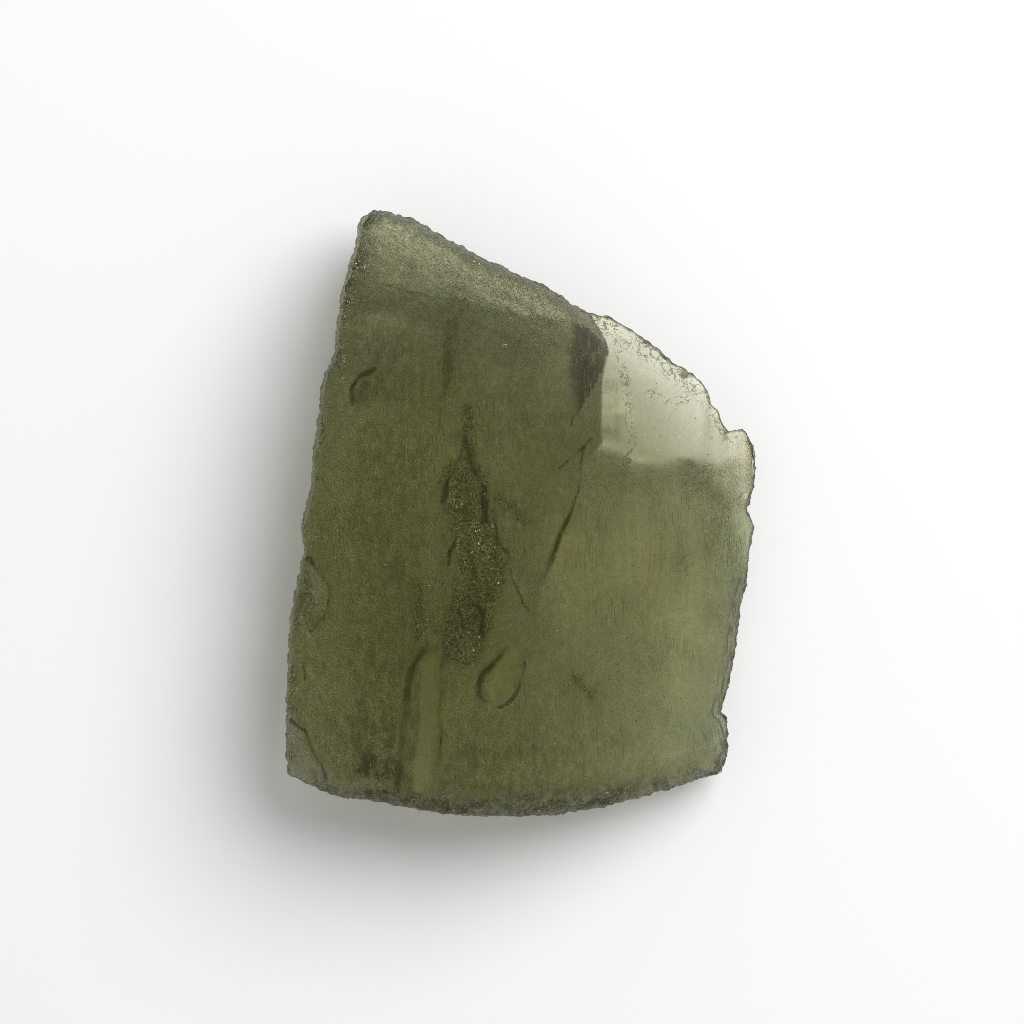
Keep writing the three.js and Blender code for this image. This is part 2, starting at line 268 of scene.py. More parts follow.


# Furrows etched into the front: path, half width, width of the walls, depth, and how dark their dirt and
# painted shade are
furrows = [
    ([(-3.95, -6.4), (-4.1, -8.6), (-4.2, -13.0)], 0.78, 0.35, 0.85, 0.0),
    (
        [(-4.04, -5.8), (-4.54, -6.54), (-4.75, -7.4), (-4.83, -8.4), (-4.96, -9.7), (-5.12, -11.5)],
        0.34, 0.32, 0.12, 0.75,
    ),
    ([(-3.33, -6.0), (-3.33, -8.6), (-3.38, -11.5)], 0.1, 0.1, 0.05, 0.8),
    ([(-2.29, 3.1), (-2.6, 2.3), (-3.0, 1.4), (-3.3, 0.4)], 0.14, 0.14, 0.15, 0.95),
    ([(-2.29, 3.1), (-2.04, 1.8), (-1.7, 1.3), (-1.5, 0.9)], 0.15, 0.15, 0.15, 0.8),
    ([(-1.5, 1.0), (-1.52, 0.2), (-1.55, -0.35)], 0.24, 0.14, 0.3, 1.0),
    ([(-2.3, 2.6), (-2.1, 1.0), (-2.3, -0.4)], 0.5, 0.5, 0.2, 0.3),
    ([(-3.3, -0.4), (-3.5, -1.8), (-3.4, -3.2), (-3.9, -4.6)], 0.5, 0.5, 0.15, 0.3),
    ([(-2.7, -1.1), (-3.04, -1.7), (-2.96, -2.2)], 0.15, 0.15, 0.12, 0.9),
    ([(-2.65, -3.9), (-2.33, -4.9)], 0.13, 0.13, 0.1, 0.8),
    (
        [(-1.15, -0.1), (-1.04, -0.88), (-0.96, -1.29), (-0.54, -1.79), (-0.4, -2.58),
         (-0.15, -3.38), (0.35, -4.08)],
        0.09, 0.08, 0.15, 0.9,
    ),
    ([(-1.04, -1.3), (-1.15, -2.6)], 0.09, 0.09, 0.06, 0.8),
    ([(-2.2, -1.2), (-2.0, -2.6), (-1.75, -4.0), (-1.55, -5.6)], 0.3, 0.3, 0.15, 0.3),
    ([(-1.6, -4.1), (-1.62, -5.1)], 0.2, 0.2, 0.25, 1.0),
    (
        [(2.54, 2.64), (2.42, 1.38), (2.33, 0.63), (1.96, -0.29), (1.46, -1.5), (0.96, -2.7)],
        0.13, 0.12, 0.22, 0.85,
    ),
    ([(1.9, -0.3), (1.46, -1.5), (0.96, -2.7)], 0.22, 0.22, 0.06, 0.5),
    ([(1.6, 1.85), (2.55, 2.7), (2.9, 3.0)], 0.16, 0.16, 0.12, 0.7),
    ([(-0.46, 4.8), (-0.4, 4.4)], 0.12, 0.12, 0.1, 0.85),
    ([(0.02, 4.1), (0.02, 3.8), (0.25, 3.58), (0.46, 3.6)], 0.11, 0.11, 0.1, 0.9),
    ([(1.6, 3.4), (1.35, 2.1)], 0.06, 0.06, 0.03, 0.6),
    ([(-6.12, 5.89), (-6.64, 5.67), (-6.95, 5.2), (-7.05, 4.5)], 0.14, 0.12, 0.15, 0.9),
    ([(-6.5, 5.3), (-6.75, 4.8), (-6.9, 4.2)], 0.35, 0.35, 0.1, 0.5),
    ([(-0.67, -5.58), (-1.08, -6.2), (-1.54, -6.8), (-1.8, -7.5)], 0.26, 0.25, 0.1, 0.8),
    ([(0.17, -6.2), (-0.04, -7.17), (-0.46, -7.8), (-0.96, -8.1)], 0.14, 0.12, 0.05, 0.9),
    ([(-6.33, 9.5), (-5.5, 9.45), (-4.8, 9.17), (-3.5, 8.95), (-2.3, 8.8)], 0.1, 0.1, 0.05, 0.75),
    ([(-2.3, 8.8), (-2.75, 7.9), (-2.95, 6.9), (-3.05, 5.6), (-3.2, 5.2)], 0.24, 0.2, 0.12, 0.5),
    ([(-5.33, 7.8), (-5.25, 7.1), (-4.5, 7.3)], 0.07, 0.07, 0.05, 0.7),
    ([(-6.83, 8.67), (-6.92, 7.8)], 0.09, 0.09, 0.05, 0.8),
    ([(-3.15, 7.4), (-3.25, 5.6)], 0.08, 0.08, 0.04, 0.7),
    ([(-2.65, 7.9), (-2.72, 5.2)], 0.07, 0.07, 0.03, 0.5),
    ([(2.9, -4.4), (2.85, -5.6)], 0.06, 0.06, 0.03, 0.7),
    ([(2.15, -3.5), (2.15, -4.6)], 0.06, 0.06, 0.03, 0.5),
    ([(4.9, 1.8), (5.6, 1.55), (6.3, 1.85)], 0.1, 0.1, 0.06, 0.6),
    ([(7.38, 3.58), (7.9, 3.1), (8.25, 3.04), (9.1, 3.15)], 0.08, 0.08, 0.05, 0.6),
    ([(-8.83, -1.85), (-8.1, -2.8), (-7.95, -3.4), (-8.25, -4.4), (-8.8, -5.0)], 0.16, 0.14, 0.1, 0.85),
    ([(-9.0, -6.2), (-9.0, -6.9)], 0.15, 0.15, 0.1, 0.8),
    ([(-9.55, -8.6), (-9.05, -9.1), (-8.7, -9.85), (-8.25, -10.4), (-8.1, -11.25)], 0.14, 0.14, 0.08, 0.8),
    ([(-6.5, -9.1), (-6.0, -9.3), (-5.7, -9.7)], 0.08, 0.08, 0.05, 0.7),
]

# Places where the skin holds a thin film of dirt, which on the rims and the sides under them is painted
# shade as well: path, half width, how dark
dirt_and_shade_films = [
    ([(-2.92, 7.8), (-2.95, 6.5), (-3.05, 5.0)], 0.38, 0.45),
    ([(-0.45, 7.0), (-0.5, 3.5)], 0.5, 0.12),
    ([(-6.3, 8.5), (-3.2, 8.3)], 0.9, 0.15),
    ([(-2.1, 2.6), (-1.9, 1.8)], 0.4, 0.4),
    ([(-3.1, 0.1), (-2.5, -0.2)], 0.4, 0.4),
    ([(-5.3, 6.0), (-5.5, -10.0)], 2.3, 0.26),
    ([(4.0, 6.8), (6.0, 4.2), (8.2, 3.2)], 2.2, 0.14),
    ([(2.2, 6.8), (2.4, 5.2)], 0.45, 0.5),
    ([(-3.0, -10.6), (4.6, -10.2)], 1.6, 0.2),
    ([(-8.0, -11.9), (-5.9, -12.1), (-3.9, -12.5), (0.6, -12.7), (3.6, -12.3)], 0.8, 0.55),
    ([(3.75, 5.2), (3.8, 3.3)], 0.6, 0.4),
    ([(-6.3, -6.8), (-6.3, -9.6)], 1.5, 0.15),
    ([(-6.4, 5.3), (-6.9, 4.7)], 0.25, 0.5),
    ([(-6.5, -10.5), (-5.3, -10.7)], 0.65, 0.7),
    ([(-1.75, -7.2), (-1.7, -7.8)], 0.35, 0.5),
    ([(-1.8, -3.5), (-3.0, -6.0)], 1.3, 0.2),
    ([(-9.0, -12.3), (-3.0, -12.7), (6.0, -11.8)], 1.3, 0.5),
    ([(-6.5, -9.8), (0.0, -10.8)], 3.0, 0.2),
    ([(2.2, -7.0), (2.8, -7.6)], 1.1, 0.12),
]

# Where the acids crumpled the skin: path, half width
crumpled_places = [
    ([(-2.25, 4.2), (-2.2, 1.8)], 1.0),
    ([(-2.4, 1.2), (-2.0, -0.8), (-1.6, -2.2), (-2.1, -4.2), (-2.4, -5.4)], 1.7),
    ([(-1.0, 0.6), (0.2, -0.4)], 0.9),
    ([(-4.3, -3.0), (-4.2, -5.2)], 0.9),
    ([(-8.9, -2.6), (-8.8, -4.2)], 1.0),
    ([(2.2, -6.8), (2.9, -7.6)], 0.8),
]

# Floors that the acids left clean and smooth: path, half width
clean_floors = [
    ([(-3.75, -6.2), (-3.85, -8.6), (-4.1, -11.3)], 0.5),
    ([(-0.5, -6.0), (-0.95, -7.5)], 0.55),
]

# Pits on the front: place, radii, turn, width of the wall as a share, bearing of the steep side, where the
# wall is painted dark as painted shade, and depth
pits = [
    ((-0.87, -6.83), (0.83, 1.42), -0.52, 0.22, 3.4, 0.36),
    ((-6.4, 5.05), (0.62, 1.0), -0.7, 0.2, 2.4, 0.3),
    ((-6.6, -1.6), (0.72, 0.85), 0.0, 0.3, 2.2, 0.1),
    ((-2.0, -4.4), (0.5, 0.8), 0.2, 0.5, 1.5, 0.3),
    ((6.75, -6.15), (0.28, 0.3), 0.0, 0.5, 1.5, 0.08),
    ((-9.0, -3.2), (0.9, 1.35), 0.0, 0.6, 3.1, 1.0),
    ((-8.5, -6.5), (0.5, 0.55), 0.0, 0.4, 2.2, 0.14),
    ((1.7, -5.5), (0.25, 0.3), 0.0, 0.5, 1.8, 0.1),
    ((5.8, 2.96), (0.2, 0.2), 0.0, 0.6, 1.6, 0.15),
    ((0.9, -0.8), (2.2, 5.0), 0.1, 1.0, None, 0.7),
    ((-5.1, 7.45), (0.55, 0.28), 0.1, 0.4, 2.8, 0.15),
    ((5.5, 0.8), (0.9, 0.7), 0.2, 0.25, 1.9, 0.1),
]


FRONT_TOP = 6.9


def front_height(x, y, inside, back):
    """The front face with all its landforms, and what each place of it is part of."""
    wobble_x = x + 0.09 * lumps(x, y, (0.6, 0.9), 1.3, 4)
    wobble_y = y + 0.09 * lumps(x, y, (0.6, 0.9), 7.7, 4)

    # A low swelling that falls off towards each broken side, and further to the thin side
    dx, dy = x + 3.2, y + 1.5
    height = FRONT_TOP - np.where(dx < 0, 0.02, 0.016) * dx * dx - 0.0028 * dy * dy
    height -= 0.5 * np.maximum(1 - inside["left"], 0) ** 2
    height -= 1.5 * np.maximum(1 - inside["lower"] / 1.4, 0) ** 2
    right_bevel = smooth(y, -12.0, -8.0) * smooth(y, -1.5, -3.8)
    height -= 1.2 * right_bevel * np.maximum(1 - inside["right"] / 1.4, 0) ** 1.3
    height -= (1.3 + 0.6 * smooth(y, -12.0, -6.0)) * smooth(x, -2.0, 6.8)
    height -= 0.5 * smooth(y, -4.5, -1.5) * smooth(2.4 - inside["right"], 0, 2.4)

    # The step down to the left of the long rib that runs from the bevel
    rib_y, rib_x = [2.5, 4.4, 6.4, 7.5, 8.8], [-3.4, -3.25, -2.85, -2.75, -2.2]
    left_of = np.interp(y, rib_y, rib_x) - x
    fade = smooth(y, 2.6, 4.6) * (1 - smooth(y, 8.6, 9.2))
    height -= 0.45 * fade * smooth(left_of, -0.1, 0.6) * (1 - smooth(left_of, 1.2, 4.5))

    # Pits and furrows, with the dirt and painted shade that they hold: each furrow is painted dark, and
    # each pit on its steep wall
    hollow, dirt_and_shade = np.zeros(x.shape), np.zeros(x.shape)
    for at, radii, turn, wall, steep, depth in pits:
        share = bowl(wobble_x, wobble_y, at, radii, turn, wall, steep)
        hollow += depth * share
        if steep is not None:
            towards = 0.5 + 0.5 * np.cos(np.arctan2(y - at[1], x - at[0]) - steep)
            dirt_and_shade += 4 * share * (1 - share) * towards**3 * min(3 * depth, 1)
    uneven = np.clip(0.85 + 0.6 * lumps(x, y, (1.2, 1.6), 9.1), 0.4, 1.3)
    for path, half_width, wall, depth, dark in furrows:
        share = furrow(wobble_x, wobble_y, path, half_width, wall)
        hollow += depth * share * (1 if half_width > wall else uneven)
        dirt_and_shade += dark * share * uneven
    dirt_film_and_shade = np.zeros(x.shape)
    for path, half_width, dark in dirt_and_shade_films:
        dirt_film_and_shade += dark * smooth(half_width - distance_to(path, wobble_x, wobble_y), 0, 0.7 * half_width)
    clean = np.zeros(x.shape)
    for path, half_width in clean_floors:
        clean = np.maximum(clean, smooth(half_width - distance_to(path, wobble_x, wobble_y), 0, 0.3))
    dirt_film_and_shade *= 1 - clean
    height -= hollow

    # The crumpled skin, with dirt and painted shade in its lows, the waves along the flow lines, and the
    # corner that broke off at the lower left
    cluster = np.zeros(x.shape)
    for path, half_width in crumpled_places:
        cluster = np.maximum(cluster, smooth(half_width - distance_to(path, wobble_x, y), 0, 1.0))
    crumpled = cluster + 0.8 * smooth(1.2 - inside["lower"], 0, 0.8)
    crumpled += 0.6 * smooth(0.9 - inside["left"], 0, 0.7)
    crumple = lumps(x, y, (0.33, 0.5), 6.6, 4)
    height += 0.085 * crumpled * crumple
    dirt_and_shade += 0.25 * np.minimum(crumpled, 1) * smooth(-crumple, 0.0, 0.4)
    height += 0.035 * lumps(x, y, (0.9, 7.0), 2.2)
    past_corner = (x + 8.6) * -0.85 + (y + 9.9) * -0.53
    height -= 1.15 * np.maximum(past_corner, 0)

    # The scars of the bevel, of the block over the shelf, and of the shelf, each cut into what was there
    face = height
    beyond = (x * 0.53 + y * 0.85) / 0.3
    ledges = lumps(x * 0.85 - y * 0.53, beyond, (1.6, 1.0), 3.3)
    height = lower_of(height, bevel_height(wobble_x, wobble_y, inside, back) + 0.05 * ledges, 0.5)
    on_upper = smooth(face - height, 0.05, 0.5) * smooth(outside_by(bevel_line, wobble_x, y), 0.45, 0.0)
    facet = back + 5.0 + 1.5 * outside_by(block_facet, x, y)
    height = lower_of(height, facet, 0.1)
    face = height
    shelf, wall, on_floor = shelf_height(x, y, inside, back)
    height = lower_of(height, shelf, np.where(wall > 0, 0.12, 0.7))
    on_shelf = smooth(face - height, 0.03, 0.2) * on_floor
    # The flake scar, where the skin is painted dark as painted shade
    scar_side = distance_to(flake_side, wobble_x, y)
    flake = is_inside(flake_scar, wobble_x, y) * smooth(scar_side, 0.0, 0.5)
    return height, {
        "dirt_and_shade": dirt_and_shade, "dirt_film_and_shade": dirt_film_and_shade, "clean": clean, "cluster": cluster, "bevel": on_upper,
        "shelf": on_shelf, "flake": flake,
    }


# How far the rims of the front and the back stand in from the outline, and how high each side is widest,
# all as shares of the stone
rim_insets = {
    "left": (0.009, 0.03, 0.3),
    "right": (0.005, 0.01, 0.45),
    "lower": (0.004, 0.045, 0.62),
    "upper": (0.004, 0.006, 0.4),
}

# How ragged the rim of each side is
rim_crinkles = {"left": 0.8, "right": 0.5, "lower": 0.2, "upper": 1.0}


def inset(side, up):
    """How far a side stands in at a height."""
    front, back, widest = rim_insets[side]
    away = np.where(up < widest, 1 - up / widest, (up - widest) / (1 - widest))
    return np.where(up < widest, back, front) * away**1.6


# Where fine cracks run over the thin shelf
scribble_paths = [
    [(3.96, 7.88), (4.04, 6.83), (4.38, 5.33), (4.46, 3.79), (4.71, 3.17), (4.33, 1.92)],
    [(5.08, 6.63), (6.04, 6.38), (6.29, 6.04)],
    [(5.3, 5.0), (6.2, 4.6), (6.9, 4.7)],
]


def stone_points(across, along, up):
    """Places on the stone's skin, with what is known of the skin there."""
    low, high = inset("left", up), 1 - inset("right", up)
    across = low + (high - low) * across
    low, high = inset("lower", up), 1 - inset("upper", up)
    along = low + (high - low) * along
    x, y = place(across, along)
    inside = inside_of(across, along)
    near_rim = np.max([
        share * smooth(0.6 - inside[name], 0, 0.4) for name, share in rim_crinkles.items()
    ], axis=0)
    shift_x, shift_y = (0.08 * near_rim * lumps(x, y, (0.4, 0.4), seed, 2) for seed in (12.5, 17.1))
    x, y = x + shift_x, y + shift_y
    back = back_height(x, y, inside)
    front, forms = front_height(x, y, inside, back)
    points = np.column_stack([x, y, back + (front - back) * up])
    on_front = up == 1
    on_side = (up > 0) & (up < 1)
    shelf = forms["shelf"]

    # Rough: the broken sides, a band of crumbs along two rims, the bevel's granular part, the crumpled skin
    band = np.maximum(smooth(1.3 - inside["lower"], 0, 0.9), smooth(0.9 - inside["left"], 0, 0.6))
    band = band * smooth(lumps(x, y, (0.7, 0.7), 21.4), -0.5, 0.35)
    granular = 0.35 * forms["bevel"] * smooth(x, -4.6, -2.6)
    crumbly = np.maximum(band, granular) * (1 - shelf)
    rough = np.where(on_front, np.maximum(crumbly, 0.7 * forms["cluster"]), 0)
    rough = rough + on_side * (1 - 0.5 * shelf)
    scribble = np.maximum(
        shelf * smooth(0.9 - inside["upper"], 0, 0.5),
        np.max([smooth(0.28 - distance_to(path, x, y), 0, 0.2) for path in scribble_paths], axis=0),
    )
    etched = (1 - shelf) * (1 - 0.6 * forms["clean"] * on_front)
    patchy = 0.45 * smooth(lumps(x, y, (1.0, 3.2), 3.1, 5), -0.25, 0.7)
    grainy = np.maximum(patchy, np.maximum(rough, forms["cluster"] * on_front)) * etched
    near_top = smooth(up, 0.15, 0.5)
    # Streaks painted dark along the chipped right edge, as painted shade of its steep facets
    chipped_side = smooth(0.75 - inside["right"], 0, 0.3) * smooth(y, -1.8, -3.2)
    scratched = smooth(lumps(x, y, (2.0, 3.0), 8.8, 2), -0.15, 0.4) * (1 - forms["bevel"]) * etched
    inclusion_x, inclusion_y = 6.83, 5.75
    return points, {
        "dirt_and_shade": np.clip(forms["dirt_and_shade"], 0, 1) * on_front,
        # The films reach over the tops of the sides, where their darkening is painted shade
        "dirt_film_and_shade": np.clip(forms["dirt_film_and_shade"], 0, 1) * near_top,
        "scribble": scribble * on_front,
        "fresh": shelf * on_front,
        "flake": forms["flake"] * on_front,
        "right_edge_shade": chipped_side * (up > 0),
        "bevel": forms["bevel"] * on_front,
        "rough": rough,
        "etched": etched,
        "grainy": grainy,
        "patina": (1 - 0.45 * smooth(x, -1.0, 5.0) - 0.4 * smooth(x, 6.5, 8.5)) * etched,
        "scratched": scratched,
        "hue": smooth(lumps(x, y, (0.8, 3.6), 2.9, 4), -0.5, 0.5),
        "inclusion": smooth(np.hypot(x - inclusion_x, (y - inclusion_y) * 1.3), 0.3, 0.2) * on_front,
    }


# The mesh: a fine front, rows up the broken sides, and a back half as fine that meets them two to one
ACROSS, ALONG, ROWS = 224, 272, 20


def loop_round(nx, ny):
    """The grid places round the rim of a face, in order."""
    return (
        [(i, 0) for i in range(nx)] + [(nx, j) for j in range(ny)]
        + [(i, ny) for i in range(nx, 0, -1)] + [(0, j) for j in range(ny, 0, -1)]
    )


def face_grid(nx, ny, start):
    """The four-sided faces of a grid whose corners are numbered column by column from start."""
    i, j = (g.ravel() for g in np.meshgrid(np.arange(nx), np.arange(ny), indexing="ij"))
    corner = start + i * (ny + 1) + j
    return np.column_stack([corner, corner + ny + 1, corner + ny + 2, corner + 1]).tolist()


def shares(nx, ny):
    """The shares across and along the slab at the corners of a grid."""
    i, j = np.meshgrid(np.linspace(0, 1, nx + 1), np.linspace(0, 1, ny + 1), indexing="ij")
    return i.ravel(), j.ravel()


front_across, front_along = shares(ACROSS, ALONG)
back_across, back_along = shares(ACROSS // 2, ALONG // 2)
rim = np.array(loop_round(ACROSS, ALONG))
rim_across, rim_along = rim[:, 0] / ACROSS, rim[:, 1] / ALONG
row_heights = [1 - k / ROWS for k in range(1, ROWS)]
points, skin = stone_points(
    np.concatenate([front_across, *[rim_across] * len(row_heights), back_across]),
    np.concatenate([front_along, *[rim_along] * len(row_heights), back_along]),
    np.concatenate([
        np.ones(len(front_across)),
        np.repeat(row_heights, len(rim)),
        np.zeros(len(back_across)),
    ]),
)

# The front, the rows down the sides, the back, and the strip that joins the last row to the back
quads = face_grid(ACROSS, ALONG, 0)
ring = [i * (ALONG + 1) + j for i, j in rim]
start = len(front_across)
for _ in row_heights:
    below = list(range(start, start + len(rim)))
    quads += [
        [ring[k], ring[(k + 1) % len(rim)], below[(k + 1) % len(rim)], below[k]] for k in range(len(rim))
    ]
    ring, start = below, start + len(rim)
quads += face_grid(ACROSS // 2, ALONG // 2, start)
foot = [start + i * (ALONG // 2 + 1) + j for i, j in loop_round(ACROSS // 2, ALONG // 2)]
triangles = []
for k, here in enumerate(foot):
    after = foot[(k + 1) % len(foot)]
    first, middle, last = ring[2 * k], ring[2 * k + 1], ring[(2 * k + 2) % len(ring)]
    triangles += [[first, middle, here], [here, middle, after], [middle, last, after]]

# The stone fills the box of its solid, resting on its back
stone_low, stone_high = (np.array(corner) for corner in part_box("moldavite"))
lowest, highest = points.min(axis=0), points.max(axis=0)
lowest[2] = 0
points = stone_low + (points - lowest) / (highest - lowest) * (stone_high - stone_low)

stone_mesh = bpy.data.meshes.new("moldavite_form")
stone_mesh.from_pydata(points.tolist(), [], quads + triangles)
for name, values in skin.items():
    stone_mesh.attributes.new(name, "FLOAT", "POINT").data.foreach_set("value", values.astype(np.float32))
stone_form = bpy.data.objects.new("moldavite_form", stone_mesh)
bpy.context.collection.objects.link(stone_form)

shell = bmesh.new()
shell.from_mesh(stone_mesh)
bmesh.ops.recalc_face_normals(shell, faces=shell.faces)
for face in shell.faces:
    face.smooth = True
shell.to_mesh(stone_mesh)
shell.free()


# The glass
# Clear bottle-green silica glass that drinks light as it passes, greener here and browner there. Ground
# acids etched its old skin to satin, dirt and painted shade stay in the furrows, painted shade darkens the
# flake scar and the rims, and the last flake scars are still glossy.

glass = bpy.data.materials.new("moldavite_glass")
glass.use_nodes = True
glass.node_tree.nodes.clear()


def add_node(tree, kind, values=(), **settings):
    """A new node, with its inputs given by name or number as values or as sockets to join."""
    made = tree.nodes.new(kind)
    for name, value in settings.items():
        setattr(made, name, value)
    for key, value in dict(values).items():
        if isinstance(value, bpy.types.NodeSocket):
            tree.links.new(value, made.inputs[key])
        else:
            made.inputs[key].default_value = value
    return made


tree = glass.node_tree
place_on_stone = add_node(tree, "ShaderNodeTexCoord").outputs["Object"]


def flowing_noise(size, stretch, detail, roughness=0.55):
    """Noise drawn out along the flow lines, with grains of a size in metres."""
    drawn = add_node(tree, "ShaderNodeMapping", {
        "Vector": place_on_stone,
        "Scale": (1 / size, 1 / (size * stretch), 1 / size),
    })
    return add_node(tree, "ShaderNodeTexNoise", {
        "Vector": drawn.outputs[0], "Scale": 1.0, "Detail": detail, "Roughness": roughness,
    }).outputs["Fac"]


def attribute(name):
    """What the mesh says of the skin at each place."""
    return add_node(tree, "ShaderNodeAttribute", attribute_name=name).outputs["Fac"]


def math_node(operation, a, b=0.0):
    return add_node(tree, "ShaderNodeMath", {0: a, 1: b}, operation=operation).outputs[0]


def mapped(value, low, high, new_low, new_high):
    """A value moved from one range to another, and kept within it."""
    return add_node(tree, "ShaderNodeMapRange", {
        "Value": value, "From Min": low, "From Max": high, "To Min": new_low, "To Max": new_high,
    }).outputs[0]


def mixed(factor, a, b):
    return add_node(tree, "ShaderNodeMix", {0: factor, 6: a, 7: b}, data_type="RGBA").outputs[2]


# The tint that each kind of skin gives to light that passes it
green_glass = (0.95, 1.0, 0.74, 1)
brown_glass = (1.0, 0.95, 0.72, 1)
clear_glass = (0.99, 0.98, 0.95, 1)
# The dark colour that dirt and painted shade mix in
dirt_and_shade_colour = (0.06, 0.05, 0.03, 1)
tinted = mixed(attribute("fresh"), mixed(attribute("hue"), green_glass, brown_glass), clear_glass)


def product(*factors):
    result = factors[0]
    for factor in factors[1:]:
        result = math_node("MULTIPLY", result, factor)
    return result


def without(value):
    return math_node("SUBTRACT", 1.0, value)


# Layers of dirt and painted shade, each from 0 where the skin is clean to 1
grainy, patina = attribute("grainy"), attribute("patina")
grain = flowing_noise(0.000062, 1.4, 1.0, 0.8)
grime = flowing_noise(0.0003, 1.7, 5.0, 0.72)
grain_tone, grime_tone = mapped(grain, 0.56, 0.44, 0.0, 1.0), mapped(grime, 0.58, 0.42, 0.0, 1.0)
specks = product(grain_tone, math_node("MAXIMUM", product(patina, 0.55), product(grainy, 0.95)))
mottle = product(grime_tone, math_node("MAXIMUM", product(patina, 0.34), product(grainy, 0.5)))
scratches = flowing_noise(0.00007, 12.0, 3.0)
scratches = product(mapped(scratches, 0.48, 0.36, 0.0, 0.55), attribute("scratched"))
grime_away, grain_away = math_node("SUBTRACT", grime, 0.5), math_node("SUBTRACT", grain, 0.5)
ragged = math_node("ADD", product(grime_away, 1.6), grain_away)
# Dirt and painted shade in the furrows, on the steep pit walls and in the crumpled lows
dirt_and_shade_tone = mapped(math_node("ADD", attribute("dirt_and_shade"), ragged), 0.28, 0.78, 0.0, 0.96)
dirt_film_and_shade = product(attribute("dirt_film_and_shade"), mapped(grime, 0.6, 0.4, 0.5, 1.3))

# The hairline cracks of the bevel and the shelf, the flake scar painted dark in streaks as painted shade,
# and painted shade in streaks along the chipped right edge
crack_field = flowing_noise(0.0005, 1.0, 3.0, 0.6)
crack_away = math_node("ABSOLUTE", math_node("SUBTRACT", crack_field, 0.5))
hairlines = math_node("ADD", attribute("scribble"), product(attribute("bevel"), 0.6))
hairlines = math_node("MAXIMUM", hairlines, product(attribute("fresh"), 0.2))
cracks = product(mapped(crack_away, 0.03, 0.012, 0.0, 0.85), hairlines)
dashes = product(mapped(grain, 0.43, 0.36, 0.0, 0.7), hairlines)
broken_streaks = flowing_noise(0.00014, 6.0, 3.0, 0.65)
flake_painted_shade = product(attribute("flake"), mapped(broken_streaks, 0.55, 0.64, 1.0, 0.5))
right_edge_shade = product(attribute("right_edge_shade"), mapped(broken_streaks, 0.53, 0.44, 0.0, 0.85))

# Each layer darkens what the others leave clean. The layers of the furrows and the films are dirt and
# painted shade; the flake scar and right-edge layers are painted shade. The inclusion is one black speck in
# the thin shelf.
dark_skin = specks
inclusion = attribute("inclusion")
for layer in (mottle, scratches, dirt_and_shade_tone, dirt_film_and_shade, cracks, dashes, flake_painted_shade, right_edge_shade, inclusion):
    dark_skin = without(product(without(dark_skin), without(layer)))
base = mixed(math_node("MINIMUM", dark_skin, 1.0), tinted, dirt_and_shade_colour)

# Satin all over, matt where dirt and painted shade lie, glossier on the peaks of the grain and on the fresh
# scars
satin = mapped(grime, 0.3, 0.7, 0.36, 0.42)
matt = product(attribute("dirt_and_shade"), 0.15)
peaks = product(mapped(grain, 0.52, 0.6, 0.0, 0.12), attribute("etched"))
gloss = math_node("ADD", product(grainy, 0.14), product(attribute("fresh"), 0.2))
roughness = math_node("SUBTRACT", math_node("ADD", satin, matt), math_node("ADD", gloss, peaks))

grain_height = product(
    grain, mapped(grainy, 0.0, 1.0, 0.3, 1.0), mapped(attribute("etched"), 0.0, 1.0, 0.2, 1.0),
)
bump = add_node(tree, "ShaderNodeBump", {"Height": grain_height, "Strength": 1.0, "Distance": 0.00015})

surface = add_node(tree, "ShaderNodeBsdfPrincipled", {
    "Base Color": base,
    "Roughness": roughness,
    "IOR": 1.49,
    "Transmission Weight": 1.0,
    "Specular Tint": (0.55, 0.58, 0.36, 1),
    "Normal": bump.outputs[0],
})
depth = add_node(tree, "ShaderNodeVolumeAbsorption", {
    "Color": (0.47, 0.482, 0.03, 1), "Density": 108.0,
})
out = add_node(tree, "ShaderNodeOutputMaterial")
tree.links.new(surface.outputs[0], out.inputs["Surface"])
tree.links.new(depth.outputs[0], out.inputs["Volume"])


# The etched skin
# Acids in the ground ate into the skin along the glass's flow lines. They left fine ribs, pits of all
# sizes, and a crumbled grain on the broken sides. All of it follows one rule over the whole stone.


def new_tree(name, sizes, seed, material_input):
    """A Geometry Nodes tree with named inputs for its sizes, its seed and its material."""
    made = bpy.data.node_groups.new(name, "GeometryNodeTree")
    made.interface.new_socket("Geometry", in_out="INPUT", socket_type="NodeSocketGeometry")
    for label, value in {**sizes, "Seed": seed}.items():
        kind = "NodeSocketInt" if isinstance(value, int) else "NodeSocketFloat"
        made.interface.new_socket(label, in_out="INPUT", socket_type=kind).default_value = value
    made.interface.new_socket(material_input, in_out="INPUT", socket_type="NodeSocketMaterial")
    made.interface.new_socket("Geometry", in_out="OUTPUT", socket_type="NodeSocketGeometry")
    return made


def made_on(form, tree, material_input, material):
    """The plain mesh that a tree makes on an object."""
    modifier = form.modifiers.new(tree.name, "NODES")
    modifier.node_group = tree
    for item in tree.interface.items_tree:
        if item.in_out == "INPUT" and item.name == material_input:
            modifier[item.identifier] = material
    seen = form.evaluated_get(bpy.context.evaluated_depsgraph_get())
    made = bpy.data.meshes.new_from_object(seen)
    form.modifiers.remove(modifier)
    return made


skin_tree = new_tree("etched_skin", {
    "Rib Spacing": 0.0004, "Rib Length": 0.005, "Rib Depth": 0.000015,
    "Pit Size": 0.0007, "Pit Depth": 0.000015,
    "Grain Size": 0.0005, "Grain Depth": 0.00012,
}, 3.7, "Glass")
given = add_node(skin_tree, "NodeGroupInput").outputs
position = add_node(skin_tree, "GeometryNodeInputPosition").outputs[0]


def skin_math(operation, a, b=0.0):
    return add_node(skin_tree, "ShaderNodeMath", {0: a, 1: b}, operation=operation).outputs[0]


